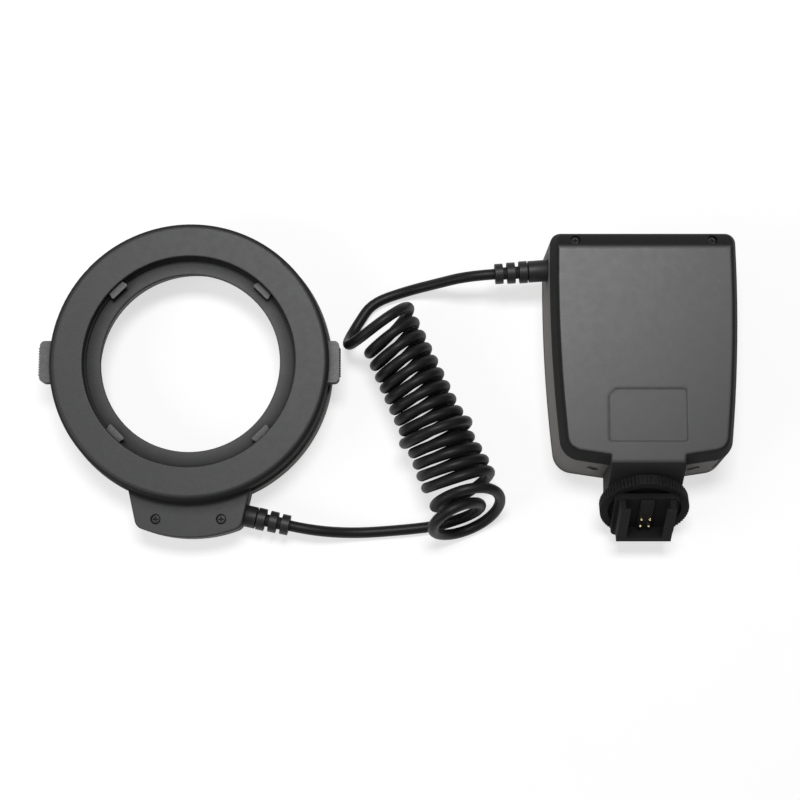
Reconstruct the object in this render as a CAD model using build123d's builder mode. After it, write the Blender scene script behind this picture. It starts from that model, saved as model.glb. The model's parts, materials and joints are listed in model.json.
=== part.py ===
from build123d import *
import os
from math import atan2, cos, degrees, exp, pi, radians, sin, sqrt, tan

# Macro ring flash, lying face down on a table: a ring head that clips to a lens,
# a curly cord and a control unit that slides on to a camera's accessory shoe.
# Millimetres. +Z is up from the table, +X runs from the ring head to the control
# unit, and +Y runs away from the shoe foot. The origin is under the box's middle.

os.makedirs("parts", exist_ok=True)

# Layout on the table
ring_to_unit = 194.5
unit_drop = 47.5

# Ring head housings
housing_radius = 61.0
cover_step = 1.0
ring_wall = 1.6
ring_depth = 26.0
ring_parting = 12.0
back_plate = 1.6
back_edge_round = 2.5
hole_inset = 22.35
flare_width = 3.35
tube_wall = 1.9
flange_height = 20.0
flange_thickness = 2.0
seat_inset = 16.2
seat_length = 1.6
mouth_step = 0.7
recess_wall = 1.4
led_floor_height = 6.6
led_floor = 1.6

# Terminal lug below the ring
lug_half_width = 26.5
lug_end_half_width = 22.3
lug_side = 9.5
lug_bow = 4.5
lug_corner = 4.5
lug_base = 1.2
lug_back = 18.0
lug_wall = 1.8
lug_root = 8.0
lug_screw_spacing = 28.0
lug_screw_inset = 3.2

# Front window, lamp board and lamps
window_recess = 0.5
window_thickness = 1.5
window_lip = 1.2
fit_gap = 0.05
board_thickness = 1.6
board_edge_gap = 0.3
board_bore_gap = 1.0
lamp_radius = 2.5
lamp_height = 2.6
lamp_dome = 1.2
lamp_inner_margin = 2.7
lamp_outer_margin = 3.5
lamps_per_row = 24
lamp_sides = 8

# Release buttons and latch frames
button_proud = 3.8
button_width = 18.0
button_base = 16.5
button_top = 23.0
button_corner = 2.2
button_gap = 0.3
button_rib = 0.5
button_rib_count = 11
button_rib_span = 12.5
button_block = 6.0
button_block_inset = 1.5
latch_travel = 3.6
latch_thickness = 0.9
left_latch_height = 22.1
right_latch_height = 23.3
latch_gap = 0.1
latch_width = 7.0
latch_end_angle = 38.0
claw_reach = 2.3
claw_thickness = 1.7
claw_width = 8.6
claw_neck_step = 0.3
claw_angle = 45.0
slot_gap = 0.35
slot_rise = 0.2
spring_radius = 1.5
spring_bore = 1.0
spring_height = 19.3
spring_spread = 5.0

# Screws
screw_radius = 1.5
screw_head_radius = 1.95
screw_head_height = 1.2
screw_recess_gap = 0.15
screw_length = 9.0
screw_sink = 0.3
screw_boss = 1.6

# Control unit shells, in the unit's own plan: x across, y up from the lower edge
front_half_width = 40.9
shell_half_width = 40.0
shell_length = 102.0
top_lean = 2.5
front_low = -3.0
side_bow_radius = 650.0
bow_centre = 79.0
low_slope = 8.5
low_corner = 9.0
top_corner = 4.5
front_shell_height = 29.0
parting_gap = 0.5
parting_inset = 1.2
shell_wall = 2.0
panel_recess = 1.6
panel_thickness = 1.8
rim_width = 3.0
lid_height = 6.5
lid_draft = 2.4
lid_low_draft = 3.4
lid_round = 1.6
lid_wall = 5.0
lid_roof = 2.3
lid_hollow_corner = 6.0
roll_length = 8.0
roll_rise = 0.8
label_width = 33.0
label_length = 22.5
label_low = 11.8
label_cut = 3.0
label_corner = 1.0
label_depth = 0.25
shoulder_screw_x = 29.2
shoulder_screw_inset = 3.8
shoulder_screw_depth = 2.6
shoulder_seat_rise = 1.5
low_screw_x = 20.8
low_screw_height = 17.0
low_screw_depth = 7.0
low_screw_boss = 3.0

# Neck, wheel and shoe foot
foot_angle = 32.0
wheel_drop = 14.0
wheel_height = 19.0
neck_half_width = 15.6
neck_wall = 1.8
neck_gap = 0.15
neck_round = 5.0
neck_low = 4.8
neck_low_round = 2.0
neck_inside = 3.0
neck_root = 9.0
neck_slot = 12.0
wheel_radius = 19.0
wheel_thickness = 4.5
wheel_teeth = 72
tooth_depth = 0.5
wheel_pad_width = 8.0
wheel_recess_radius = 15.6
wheel_recess = 1.2
stem_radius = 7.9
stem_bore = 5.85
stem_gap = 0.05
stem_flange_radius = 9.5
stem_flange = 1.6
washer_thickness = 0.5
washer_radius = 15.0
wheel_gap = 0.1
wheel_feed = 0.75
feed_spare = 0.15
foot_width = 23.4
foot_low = 11.3
foot_high = 11.0
foot_plate_width = 27.0
foot_plate_low = 15.0
foot_plate_high = 12.0
foot_plate = 2.4
foot_plate_corner = 3.0
foot_wall = 2.2
slot_height = 4.7
lip_width = 4.0
lip_thickness = 1.2
foot_rib_width = 5.7
foot_rib_height = 1.3
pin_radius = 0.6
pin_gap = 0.05
pin_tip = 3.15
pin_head_radius = 1.1
pin_head = 0.8
pin_travel = 1.0
pin_half_spacing = 1.8
pin_upper = 0.5
pin_lower = -4.2

# Battery bay and door
cell_radius = 7.15
cell_length = 50.5
cell_pitch = 14.8
cell_first = 21.1
cell_count = 4
cell_drop = 9.1
cell_gap = 0.15
cell_right_inset = 6.7
bay_low = 13.4
bay_length = 60.0
bay_height = 16.0
bay_wall = 2.4
bay_right_inset = 8.6
bay_mouth = 12.0
bay_mouth_step = 0.4
contact_thickness = 1.0
door_foot_inset = 9.0
door_foot_y = 11.0
door_low_inset = 6.1
door_high_inset = 3.5
door_high_y = 76.0
door_base = 9.8
door_gap = 0.2
door_frame = 2.0

# Front panel controls
lcd_width = 46.0
lcd_length = 22.0
lcd_centre = 63.0
lcd_border = 2.0
lcd_window_thickness = 0.9
board_low = 15.0
board_high = 78.0
board_left = -33.5
board_right = 30.5
board_height = 7.0
boss_radius = 2.6
boss_inset = 3.5
key_radius = 4.2
key_gap = 0.15
key_base = 0.6
key_flange = 1.2
key_flange_thickness = 1.0
key_stem_radius = 1.5
key_stem_top = 4.7
key_upper_y = 43.0
key_lower_y = 29.0
key_spacing = 18.0
switch_size = 6.0
switch_base = 5.6
slider_width = 8.0
slider_length = 3.6
slider_travel = 4.0
slider_flange_width = 17.0
slider_flange_length = 6.4
slider_x = 12.0
slider_y = 19.0

# Strain reliefs and cord
cord_radius = 2.3
cord_sides = 6
cord_rest = 2.35
relief_radius = 4.8
relief_ring = 3.4
relief_gap = 1.85
relief_groove = 0.6
relief_core = 2.7
relief_taper = 0.2
relief_plug_radius = 3.5
relief_plug = 2.2
ring_collar = 5.0
ring_relief_height = 9.5
ring_relief_inset = 5.3
unit_collar = 8.5
unit_relief_height = 19.5
unit_relief_inset = 14.0
unit_relief_turn = 184.0
unit_relief_sink = 0.35
coil_start = (-4.45, 32.6)
coil_heading = -65.4
coil_radius = 12.2
coil_turns = 16
coil_pitch = 5.62
coil_lean = 42.0
coil_lean_end = 20.0
coil_exit_lean = 12.0

# Values that follow from the sizes above
cover_radius = housing_radius - cover_step
hole_radius = housing_radius - hole_inset
hole_flare = hole_radius + flare_width
seat_radius = housing_radius - seat_inset
mouth_radius = seat_radius + mouth_step
recess_outer = mouth_radius + recess_wall
lug_corner_reach = housing_radius + lug_side
lug_reach = lug_corner_reach + lug_bow
lug_screw_reach = lug_corner_reach - lug_screw_inset
ring_relief_reach = lug_corner_reach - ring_relief_inset
button_reach = housing_radius + button_proud
button_inner = cover_radius - ring_wall
latch_inner_radius = recess_outer + latch_travel / 2 + latch_gap
latch_outer_radius = latch_inner_radius + latch_width
claw_radius = seat_radius - claw_reach
spring_start = sqrt(recess_outer**2 - (spring_spread - spring_radius) ** 2) + fit_gap
front_top = shell_length - top_lean
shoulder_screw_y = shell_length - shoulder_screw_inset
unit_relief_y = shell_length - unit_relief_inset
lid_base = front_shell_height + parting_gap
lid_top = lid_base + lid_height
roll_start = shell_length - roll_length
roll_base = lid_base + roll_rise
shoulder_screw_end = front_shell_height - shoulder_screw_depth
shoulder_seat = lid_base + shoulder_seat_rise
cell_height = lid_base - cell_drop
cell_right = shell_half_width - cell_right_inset
bay_right = shell_half_width - bay_right_inset
door_foot_x = shell_half_width - door_foot_inset
door_low_x = shell_half_width - door_low_inset
door_high_x = shell_half_width - door_high_inset
foot_sin = sin(radians(foot_angle))
foot_cos = cos(radians(foot_angle))
wheel_face = wheel_thickness / 2
plate_start = wheel_face + 2 * wheel_gap
neck_face = -(wheel_face + wheel_gap + washer_thickness + wheel_feed + feed_spare)
roof_start = plate_start + foot_plate
pin_seat = plate_start + pin_travel
sole_depth = roof_start + slot_height + lip_thickness
foot_tip = wheel_drop + foot_cos * sole_depth + foot_sin * foot_low
lowest_reach = max(lug_reach, unit_drop + foot_tip)
ring_x = (button_reach - ring_to_unit - front_half_width) / 2
ring_y = (lowest_reach - housing_radius) / 2
unit_x = ring_x + ring_to_unit
unit_y = ring_y - unit_drop
wheel_centre = (unit_x, unit_y - wheel_drop, wheel_height)
foot_plane = Plane(origin=wheel_centre, x_dir=(1, 0, 0), z_dir=(0, -foot_cos, foot_sin))


def ring_plane(height):
    return Plane(origin=(ring_x, ring_y, height))


def unit_plane(height):
    return Plane(origin=(unit_x, unit_y, height))


def ring_section():
    """Plane through the ring's axis: sketch x is the radius, sketch y the height."""
    return Plane(origin=(ring_x, ring_y, 0), x_dir=(1, 0, 0), z_dir=(0, -1, 0))


ring_axis = Axis((ring_x, ring_y, 0), (0, 0, 1))


def turned(points, section, axis, cut=Mode.ADD):
    """Revolve the closed outline through points about an axis."""
    with BuildSketch(section, mode=Mode.PRIVATE) as outline:
        with BuildLine():
            Polyline(*points, close=True)
        make_face()
    revolve(outline.sketch, axis=axis, mode=cut)


# Ring head: the front housing carries the lamps and the flared lens tube

tube_top = flange_height - flange_thickness
flare_slope = (hole_flare - hole_radius) / flange_height
led_floor_top = led_floor_height + led_floor
window_top = window_recess + window_thickness


def tube_inner(height):
    return hole_flare - flare_slope * height


def lug_outline(inset):
    """Half-trapezium below the ring with a bowed end, as a sketch face."""
    side = lug_half_width - inset
    end = lug_end_half_width - inset
    corner_y = inset - lug_corner_reach
    with BuildSketch(mode=Mode.PRIVATE) as outline:
        with BuildLine():
            Polyline((-end, corner_y), (-side, -lug_side_top), (-side, lug_start))
            Line((-side, lug_start), (side, lug_start))
            Polyline((side, lug_start), (side, -lug_side_top), (end, corner_y))
            ThreePointArc((end, corner_y), (0, inset - lug_reach), (-end, corner_y))
        make_face()
        corners = outline.vertices().sort_by(Axis.Y)[0:2]
        fillet(corners, radius=lug_corner - inset)
    return outline.sketch


def relief_frame(centre, heading):
    """Plane at a strain relief's root, with its normal along the cord's way out."""
    out = Vector(cos(radians(heading)), sin(radians(heading)), 0)
    return Plane(origin=centre, x_dir=(0, 0, 1), z_dir=out)


lug_side_top = cover_radius - lug_root
lug_start = 6 - lug_side_top
lug_slope = (lug_half_width - lug_end_half_width) / (lug_corner_reach - lug_side_top)
ring_relief_x = lug_half_width - (ring_relief_reach - lug_side_top) * lug_slope
ring_relief = relief_frame(
    (ring_x + ring_relief_x, ring_y - ring_relief_reach, ring_relief_height), -degrees(atan2(lug_slope, 1))
)
wall_lean = (front_half_width - shell_half_width) * unit_relief_height / front_shell_height
unit_relief_x = unit_x - front_half_width + wall_lean + unit_relief_sink
unit_relief = relief_frame((unit_relief_x, unit_y + unit_relief_y, unit_relief_height), unit_relief_turn)

with BuildPart() as ring_front_housing:
    turned(
        [
            (housing_radius, 0.4), (housing_radius - 0.4, 0), (housing_radius - ring_wall, 0),
            (housing_radius - ring_wall, window_top), (housing_radius - ring_wall - window_lip, window_top),
            (housing_radius - ring_wall - window_lip, led_floor_height),
            (tube_inner(led_floor_height) + tube_wall, led_floor_height),
            (tube_inner(window_top) + tube_wall + window_lip, window_top),
            (tube_inner(window_top) + tube_wall, window_top),
            (tube_inner(0) + tube_wall, 0), (tube_inner(0), 0), (tube_inner(tube_top), tube_top),
            (tube_inner(tube_top) + tube_wall, tube_top),
            (tube_inner(led_floor_top) + tube_wall, led_floor_top),
            (housing_radius - ring_wall, led_floor_top), (housing_radius - ring_wall, ring_parting),
            (housing_radius - 0.4, ring_parting), (housing_radius, ring_parting - 0.4),
        ],
        ring_section(), ring_axis,
    )
    with BuildSketch(ring_plane(lug_base)):
        add(lug_outline(0))
        Circle(housing_radius - ring_wall / 2, mode=Mode.SUBTRACT)
    extrude(amount=ring_parting - lug_base)
    with BuildSketch(ring_plane(lug_base + lug_wall)):
        add(lug_outline(lug_wall))
        Circle(housing_radius - ring_wall / 2, mode=Mode.SUBTRACT)
    extrude(amount=ring_parting, mode=Mode.SUBTRACT)
    with BuildSketch(ring_relief):
        Circle(relief_plug_radius + fit_gap)
    extrude(amount=lug_wall + relief_plug, both=True, mode=Mode.SUBTRACT)
    with BuildSketch(ring_plane(lug_base)):
        with Locations((lug_screw_spacing / 2, -lug_screw_reach), (-lug_screw_spacing / 2, -lug_screw_reach)):
            Circle(screw_radius + screw_boss)
    extrude(amount=ring_parting - lug_base)
    with BuildSketch(ring_plane(lug_back - screw_length)):
        with Locations((lug_screw_spacing / 2, -lug_screw_reach), (-lug_screw_spacing / 2, -lug_screw_reach)):
            Circle(screw_radius)
    extrude(amount=screw_length, mode=Mode.SUBTRACT)
ring_front_housing.part.label = "ring_front_housing"
export_step(ring_front_housing.part, "parts/ring_front_housing.step")

# Ring head: the back cover has the stepped recess that an adapter ring drops into

seat_top = flange_height + seat_length
slot_middle = claw_width + latch_travel * sin(radians(claw_angle)) + 2 * slot_gap
slot_shift = latch_travel * sin(radians(claw_angle)) / 2


def claw_plane(angle, height):
    """Plane at a claw, with sketch x running out along the radius."""
    way = (cos(radians(angle)), sin(radians(angle)), 0)
    return Plane(origin=(ring_x, ring_y, height), x_dir=way, z_dir=(0, 0, 1))


with BuildPart() as ring_back_cover:
    turned(
        [
            (hole_radius, tube_top), (recess_outer, tube_top), (recess_outer, ring_depth - back_plate),
            (cover_radius - ring_wall, ring_depth - back_plate), (cover_radius - ring_wall, ring_parting),
            (cover_radius, ring_parting), (cover_radius, ring_depth), (mouth_radius, ring_depth),
            (mouth_radius, seat_top), (seat_radius, seat_top), (seat_radius, flange_height),
            (hole_radius, flange_height),
        ],
        ring_section(), ring_axis,
    )
    outer_rim = ring_back_cover.edges().filter_by(GeomType.CIRCLE).group_by(Axis.Z)[-1].sort_by(SortBy.RADIUS)
    fillet(outer_rim[-1], radius=back_edge_round)
    fillet(
        ring_back_cover.edges().filter_by(GeomType.CIRCLE).group_by(Axis.Z)[-1].sort_by(SortBy.RADIUS)[0],
        radius=0.4,
    )
    with BuildSketch(ring_plane(ring_parting)):
        add(lug_outline(0))
        Circle(cover_radius - ring_wall / 2, mode=Mode.SUBTRACT)
    extrude(amount=lug_back - ring_parting)
    with BuildSketch(ring_plane(ring_parting)):
        add(lug_outline(lug_wall))
        Circle(cover_radius - ring_wall / 2, mode=Mode.SUBTRACT)
    extrude(amount=lug_back - lug_wall - ring_parting, mode=Mode.SUBTRACT)
    with BuildSketch(ring_plane(ring_parting)):
        with Locations((lug_screw_spacing / 2, -lug_screw_reach), (-lug_screw_spacing / 2, -lug_screw_reach)):
            Circle(screw_radius + screw_boss)
    extrude(amount=lug_back - ring_parting)
    with BuildSketch(ring_plane(ring_parting)):
        with Locations((lug_screw_spacing / 2, -lug_screw_reach), (-lug_screw_spacing / 2, -lug_screw_reach)):
            Circle(screw_radius)
    extrude(amount=lug_back, mode=Mode.SUBTRACT)
    with BuildSketch(ring_plane(lug_back - screw_head_height - screw_sink)):
        with Locations((lug_screw_spacing / 2, -lug_screw_reach), (-lug_screw_spacing / 2, -lug_screw_reach)):
            Circle(screw_head_radius + screw_recess_gap)
    extrude(amount=screw_head_height + 1, mode=Mode.SUBTRACT)
    with BuildSketch(ring_relief):
        Circle(relief_plug_radius + fit_gap)
    extrude(amount=lug_wall + relief_plug, both=True, mode=Mode.SUBTRACT)
    for side in (-1, 1):
        with BuildSketch(ring_plane(button_base - button_gap)):
            with Locations((side * cover_radius, 0)):
                Rectangle(4 * ring_wall, button_width + 2 * button_gap)
        extrude(amount=button_top - button_base + 2 * button_gap, mode=Mode.SUBTRACT)
    for angle, toward in ((claw_angle, -1), (-claw_angle, 1), (180 - claw_angle, 1), (180 + claw_angle, -1)):
        with BuildSketch(claw_plane(angle, left_latch_height - slot_rise)):
            with Locations((mouth_radius, toward * slot_shift)):
                Rectangle(6 * recess_wall, slot_middle)
        extrude(amount=right_latch_height + latch_thickness - left_latch_height + 2 * slot_rise,
                mode=Mode.SUBTRACT)
ring_back_cover.part.label = "ring_back_cover"
export_step(ring_back_cover.part, "parts/ring_back_cover.step")

# Ring head: clear front window, lamp board and lamps

with BuildPart() as front_window:
    with BuildSketch(ring_plane(window_recess)):
        Circle(housing_radius - ring_wall - fit_gap)
        Circle(tube_inner(0) + tube_wall + fit_gap, mode=Mode.SUBTRACT)
    extrude(amount=window_thickness)
front_window.part.label = "front_window"
export_step(front_window.part, "parts/front_window.step")

board_outer = housing_radius - ring_wall - window_lip - board_edge_gap
board_inner = tube_inner(window_top) + tube_wall + window_lip + board_bore_gap
with BuildPart() as lamp_board:
    with BuildSketch(ring_plane(led_floor_height - board_thickness)):
        Circle(board_outer)
        Circle(board_inner, mode=Mode.SUBTRACT)
    extrude(amount=board_thickness)
lamp_board.part.label = "lamp_board"
export_step(lamp_board.part, "parts/lamp_board.step")

lamp_face = led_floor_height - board_thickness
with BuildPart() as lamps:
    for row, row_radius in enumerate((board_inner + lamp_inner_margin, board_outer - lamp_outer_margin)):
        half_step = 180 / lamps_per_row * row
        with BuildSketch(ring_plane(lamp_face)):
            with PolarLocations(row_radius, lamps_per_row, start_angle=half_step):
                RegularPolygon(lamp_radius, lamp_sides)
        extrude(amount=lamp_dome - lamp_height)
        with BuildSketch(ring_plane(lamp_face + lamp_dome - lamp_height)):
            with PolarLocations(row_radius, lamps_per_row, start_angle=half_step):
                RegularPolygon(lamp_radius, lamp_sides)
        extrude(amount=-lamp_dome, taper=38)
lamps.part.label = "lamps"
export_step(lamps.part, "parts/lamps.step")

# Release buttons: each is pushed in from its side and carries a latch frame whose
# claws grip on the far side of the recess


def release_button(side, frame_height):
    """Ribbed thumb piece through the cover's wall, with a block that carries its frame."""
    reach = button_reach - button_rib
    rib_pitch = button_rib_span / button_rib_count
    with BuildPart() as piece:
        with BuildSketch(ring_plane(button_base)) as outline:
            with Locations((side * (reach + button_inner) / 2, 0)):
                Rectangle(reach - button_inner, button_width)
            fillet(outline.vertices().sort_by_distance((2 * side * reach, 0, 0))[0:2], radius=button_corner)
        extrude(amount=button_top - button_base)
        with BuildSketch(ring_plane(button_base + button_rib)):
            with Locations((side * reach, 0)):
                with GridLocations(0, rib_pitch, 1, button_rib_count):
                    Rectangle(2 * button_rib, rib_pitch / 2)
        extrude(amount=button_top - button_base - 2 * button_rib)
        with BuildSketch(ring_plane(button_base)):
            with Locations((side * (button_inner - button_block / 2), 0)):
                Rectangle(button_block, button_width - 2 * button_block_inset)
        extrude(amount=frame_height - button_base)
    return piece.part


def latch_frame(side, height):
    """C-shaped plate round the recess, with two claws on the side away from its button."""
    arm_start = claw_radius + claw_thickness / 2
    with BuildPart() as piece:
        with BuildSketch(ring_plane(height)):
            with Locations((side * latch_travel / 2, 0)):
                Circle(latch_outer_radius)
                Circle(latch_inner_radius, mode=Mode.SUBTRACT)
            with BuildLine():
                far = 2 * latch_outer_radius
                open_x = -side * far * cos(radians(latch_end_angle))
                open_y = far * sin(radians(latch_end_angle))
                Polyline((0, 0), (open_x, open_y), (open_x, -open_y), close=True)
            make_face(mode=Mode.SUBTRACT)
        extrude(amount=latch_thickness)
        for angle in (-claw_angle, claw_angle):
            way = angle if side < 0 else 180 - angle
            with BuildSketch(claw_plane(way, height)):
                with Locations(((arm_start + latch_inner_radius) / 2, 0)):
                    Rectangle(latch_inner_radius - arm_start, claw_width - 2 * claw_neck_step)
                with Locations((arm_start, 0)):
                    RectangleRounded(claw_thickness, claw_width, claw_thickness * 0.35)
            extrude(amount=latch_thickness)
    return piece.part


left_release_button = release_button(-1, left_latch_height)
left_release_button.label = "left_release_button"
export_step(left_release_button, "parts/left_release_button.step")
right_release_button = release_button(1, right_latch_height)
right_release_button.label = "right_release_button"
export_step(right_release_button, "parts/right_release_button.step")
left_latch_frame = latch_frame(-1, left_latch_height)
left_latch_frame.label = "left_latch_frame"
export_step(left_latch_frame, "parts/left_latch_frame.step")
right_latch_frame = latch_frame(1, right_latch_height)
right_latch_frame.label = "right_latch_frame"
export_step(right_latch_frame, "parts/right_latch_frame.step")

# Ring head: return springs between each button and the recess wall, drawn as plain sleeves


def latch_springs(side):
    """Two sleeves in line with the button's travel."""
    start = (ring_x + side * spring_start, ring_y, spring_height)
    with BuildPart() as pair:
        with BuildSketch(Plane(origin=start, x_dir=(0, 1, 0), z_dir=(side, 0, 0))):
            with Locations((spring_spread, 0), (-spring_spread, 0)):
                Circle(spring_radius)
                Circle(spring_bore, mode=Mode.SUBTRACT)
        extrude(amount=button_inner - button_block - spring_start)
    return pair.part


left_latch_springs = latch_springs(-1)
left_latch_springs.label = "left_latch_springs"
export_step(left_latch_springs, "parts/left_latch_springs.step")
right_latch_springs = latch_springs(1)
right_latch_springs.label = "right_latch_springs"
export_step(right_latch_springs, "parts/right_latch_springs.step")

# Ring head: the two lug screws and the strain relief

with BuildPart() as ring_screws:
    with BuildSketch(ring_plane(lug_back - screw_length)):
        with Locations((lug_screw_spacing / 2, -lug_screw_reach), (-lug_screw_spacing / 2, -lug_screw_reach)):
            Circle(screw_radius - fit_gap)
    extrude(amount=screw_length - 0.3)
    with BuildSketch(ring_plane(lug_back - screw_head_height - screw_sink)):
        with Locations((lug_screw_spacing / 2, -lug_screw_reach), (-lug_screw_spacing / 2, -lug_screw_reach)):
            Circle(screw_head_radius)
    extrude(amount=screw_head_height)
ring_screws.part.label = "ring_screws"
export_step(ring_screws.part, "parts/ring_screws.step")


def strain_relief(root, collar):
    """Collar, then rings on a thin core so that the sleeve can bend, with a plug in the wall."""
    with BuildPart() as sleeve:
        with BuildSketch(root.offset(-lug_wall - relief_plug + 0.3)):
            Circle(relief_plug_radius)
        extrude(amount=lug_wall + relief_plug - 0.3)
        with BuildSketch(root):
            Circle(relief_radius - relief_taper / 2)
        extrude(amount=collar)
        with BuildSketch(root.offset(collar)):
            Circle(relief_core)
        extrude(amount=relief_groove + 3 * relief_ring + 2 * relief_gap)
        for count in range(3):
            start = collar + relief_groove + count * (relief_ring + relief_gap)
            with BuildSketch(root.offset(start)):
                Circle(relief_radius - count * relief_taper)
            extrude(amount=relief_ring)
    return sleeve.part


ring_strain_relief = strain_relief(ring_relief, ring_collar)
ring_strain_relief.label = "ring_strain_relief"
export_step(ring_strain_relief, "parts/ring_strain_relief.step")
unit_strain_relief = strain_relief(unit_relief, unit_collar)
unit_strain_relief.label = "unit_strain_relief"
export_step(unit_strain_relief, "parts/unit_strain_relief.step")
relief_tail = relief_groove + 3 * relief_ring + 2 * relief_gap

# Cord: the coil's axis, size and lean change slowly along it


def eased(value):
    """Smooth step from nought to one."""
    held = min(max(value, 0), 1)
    return held * held * (3 - 2 * held)


def coil_point(turn):
    """Centre of the cord after a number of turns."""
    along_way = Vector(cos(radians(coil_heading)), sin(radians(coil_heading)), 0)
    side_way = Vector(-along_way.Y, along_way.X, 0)
    lean = coil_lean + (coil_lean_end - coil_lean) * eased(turn / 13)
    lean += (coil_exit_lean - coil_lean_end) * eased((turn - 15.2) / 0.5)
    across = Vector(cos(radians(lean)), sin(radians(lean)), 0)
    radius = coil_radius + 2.0 * exp(-(((turn + 0.1) / 0.5) ** 2)) + 2.6 * exp(-(((turn - 9.2) / 0.5) ** 2))
    radius += 1.6 * eased((turn - 9.5) / 3.5) - 2.2 * eased((turn - 15) / 0.5)
    along = coil_pitch * (turn + 1.25) + 1.2 * eased(turn / 3) - 5.0 * exp(-(turn + 0.25) / 0.2)
    along += 6.8 * eased((turn - 13.4) / 1.3) - 9.4 * eased((turn - 15) / 0.7)
    tilt = 0.40 * eased((turn - 13.1) / 1.5) - 0.12 * eased((turn - 14.9) / 0.8)
    side = -7.0 * eased((turn - 14.3) / 1.1) - 5.4 * exp(-(((turn + 0.2) / 0.32) ** 2))
    rise = sin(2 * pi * turn)
    flat = Vector(coil_start[0], coil_start[1], cord_rest + radius * (1 + rise))
    flat += along_way * (along - tilt * radius * rise) + side_way * side
    return flat - across * (radius * cos(2 * pi * turn))


def coil_way(turn):
    """Unit tangent of the coil."""
    step = 0.0005
    return (coil_point(turn + step) - coil_point(turn - step)).normalized()


def join_arcs(start, start_way, end, end_way):
    """Two tangent arcs between two points with given directions."""
    chord = end - start
    total = start_way + end_way
    bend = 2 * (1 - start_way.dot(end_way))
    reach = (sqrt(chord.dot(total) ** 2 + bend * chord.dot(chord)) - chord.dot(total)) / bend
    middle = (start + end + (start_way - end_way) * reach) * 0.5
    middle_way = ((end - end_way * reach) - (start + start_way * reach)).normalized()
    TangentArc(start, middle, tangent=start_way)
    TangentArc(middle, end, tangent=middle_way)


coil_first = -0.25
coil_last = coil_first + coil_turns
coil_begin = coil_point(coil_first)
coil_finish = coil_point(coil_last)
coil_begin_way = coil_way(coil_first)
coil_finish_way = coil_way(coil_last)
with BuildPart() as coiled_cord:
    with BuildLine() as coil_path:
        for half in range(2 * coil_turns):
            turn = coil_first + half / 2
            join_arcs(coil_point(turn), coil_way(turn), coil_point(turn + 0.5), coil_way(turn + 0.5))
    with BuildSketch(Plane(origin=coil_begin, x_dir=(0, 0, 1), z_dir=coil_begin_way)):
        RegularPolygon(cord_radius, cord_sides)
    sweep(path=coil_path.line)
coiled_cord.part.label = "coiled_cord"
export_step(coiled_cord.part, "parts/coiled_cord.step")


def cord_stretch(route):
    """Tube along straight runs joined by tangent arcs."""
    corners = [Vector(*place) for place in route]
    radii = []
    for before, corner, after in zip(corners, corners[1:], corners[2:]):
        come = corner - before
        leave = after - corner
        half_turn = radians(come.get_angle(leave)) / 2
        radii.append(0.45 * min(come.length, leave.length) / tan(half_turn))
    with BuildPart() as stretch:
        with BuildLine() as path:
            FilletPolyline(*corners, radius=radii)
        with BuildSketch(Plane(origin=corners[0], x_dir=(0, 0, 1), z_dir=corners[1] - corners[0])):
            RegularPolygon(cord_radius, cord_sides)
        sweep(path=path.line)
    section = cord_sides / 2 * cord_radius**2 * sin(2 * pi / cord_sides)
    length = path.wires()[0].length
    print("cord length", round(length, 1), "radii", [round(r, 1) for r in radii])
    print("volume ratio", round(stretch.part.volume / (section * length), 4))
    return stretch.part


def ahead(start, way, distance):
    return (start.X + way.X * distance, start.Y + way.Y * distance, start.Z + way.Z * distance)


ring_mouth = ring_relief.origin + ring_relief.z_dir * (ring_collar + relief_tail)
unit_mouth = unit_relief.origin + unit_relief.z_dir * (unit_collar + relief_tail)
ring_route = [
    ahead(ring_mouth, ring_relief.z_dir, 0),
    ahead(ring_mouth, ring_relief.z_dir, 10),
    (-14.7, -64.8, cord_rest),
    (5.3, -63.4, cord_rest),
    ahead(coil_finish, coil_finish_way, 9),
    ahead(coil_finish, coil_finish_way, 0),
]
unit_route = [
    ahead(unit_mouth, unit_relief.z_dir, 0),
    ahead(unit_mouth, unit_relief.z_dir, 12),
    (21.6, 44.5, 10.0),
    (7.8, 42.4, cord_rest),
    ahead(coil_begin, coil_begin_way, -11),
    ahead(coil_begin, coil_begin_way, 0),
]
ring_cord = cord_stretch(ring_route)
ring_cord.label = "ring_cord"
export_step(ring_cord, "parts/ring_cord.step")
unit_cord = cord_stretch(unit_route)
unit_cord.label = "unit_cord"
export_step(unit_cord, "parts/unit_cord.step")

marks = [coil_point(coil_first + step / 48) for step in range(48 * coil_turns + 1)]
gaps = [
    (marks[here] - marks[other]).length
    for here in range(len(marks))
    for other in range(here + 24, min(here + 112, len(marks)))
]
print("least gap in the coil", round(min(gaps) - 2 * cord_radius, 2))
print("coil length", round(coil_path.wires()[0].length, 1), "coil ends", coil_begin, coil_finish)
print("mouths", ring_mouth, unit_mouth)

# Control unit: outlines shared by the shells and the battery door


def half_width(half, y):
    return half - (y - bow_centre) ** 2 / (2 * side_bow_radius)


def unit_face(height, half, top, low, round_low, round_top):
    """Unit outline at a height: bowed sides, a shallow V below and rounded corners."""
    slope = tan(radians(low_slope))
    side_low = low + slope * half_width(half, low + 6)
    corner = half_width(half, side_low)
    middle = (side_low + top) / 2
    with BuildSketch(unit_plane(height), mode=Mode.PRIVATE) as outline:
        with BuildLine():
            Polyline((-corner, side_low), (0, low), (corner, side_low))
            ThreePointArc((corner, side_low), (half_width(half, middle), middle), (half_width(half, top), top))
            Line((half_width(half, top), top), (-half_width(half, top), top))
            ThreePointArc((-half_width(half, top), top), (-half_width(half, middle), middle), (-corner, side_low))
        make_face()
        fillet(outline.vertices().sort_by(Axis.Y)[-2:], radius=round_top)
        fillet(outline.vertices().sort_by(Axis.Y)[1:3], radius=round_low)
    return outline.sketch


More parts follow.
